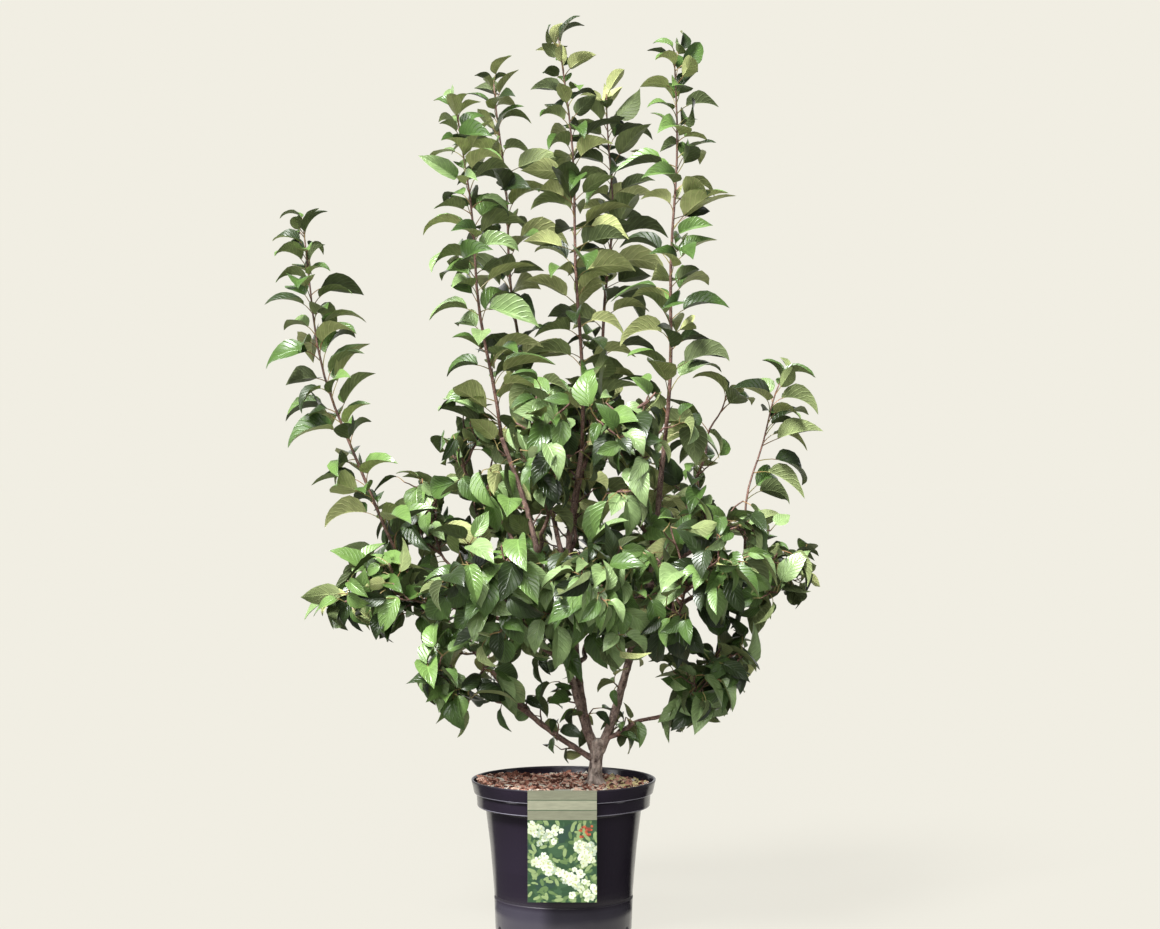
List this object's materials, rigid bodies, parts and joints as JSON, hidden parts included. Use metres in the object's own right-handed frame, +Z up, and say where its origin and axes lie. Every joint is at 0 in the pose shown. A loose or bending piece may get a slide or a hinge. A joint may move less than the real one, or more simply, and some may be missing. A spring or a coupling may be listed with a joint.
{
  "type": "potted evereste crabapple",
  "caption": "Young crabapple with a short trunk, spreading boughs, a dense lower crown and upright leafy shoots, in a round black nursery pot with a hanging label card.",
  "frame": {"origin": "the middle of the pot's flat underside", "axes": "+Z up, along the trunk and shoots; -Y towards the side with the label card; +X to the right of that side"},
  "size_m": [0.8742, 0.6479, 1.3923],
  "materials": {
    "pot_plastic": "glossy near-black moulded plastic with fine scuffs",
    "soil": "loose reddish-brown bark chips and compost",
    "label_card": "printed satin plastic card",
    "bark": "young grey-brown bark with lenticels, redder on the shoots",
    "foliage": "satin mid-green leaves with paler, duller undersides"
  },
  "bodies": {
    "root": {"pot": "pot_plastic", "soil": "soil", "label_card": "label_card", "trunk": "bark", "bough_right": "bark", "bough_left_centre": "bark", "bough_centre": "bark", "bough_far_left": "bark", "bough_low_right": "bark", "bough_left_back": "bark", "bough_right_back": "bark", "bough_far_right": "bark", "bough_far_right_upper": "bark", "bough_right_upper": "bark", "bough_low_left": "bark", "bough_left_mid": "bark", "bough_left_upper": "bark", "bough_upper_left": "bark", "bough_front_left": "bark", "bough_front_centre": "bark", "bough_front_right": "bark", "bough_upper_front": "bark", "bough_upper_right": "bark", "bough_side_right": "bark", "bough_back": "bark", "bough_back_left": "bark", "bough_back_right": "bark", "bough_upper_back": "bark", "foliage_right": "foliage", "foliage_left_centre": "foliage", "foliage_centre": "foliage", "foliage_far_left": "foliage", "foliage_low_right": "foliage", "foliage_left_back": "foliage", "foliage_right_back": "foliage", "foliage_far_right": "foliage", "foliage_far_right_upper": "foliage", "foliage_right_upper": "foliage", "foliage_low_left": "foliage", "foliage_left_mid": "foliage", "foliage_left_upper": "foliage", "foliage_upper_left": "foliage", "foliage_front_left": "foliage", "foliage_front_centre": "foliage", "foliage_front_right": "foliage", "foliage_upper_front": "foliage", "foliage_upper_right": "foliage", "foliage_side_right": "foliage", "foliage_back": "foliage", "foliage_back_left": "foliage", "foliage_back_right": "foliage", "foliage_upper_back": "foliage"}
  },
  "joints": []
}
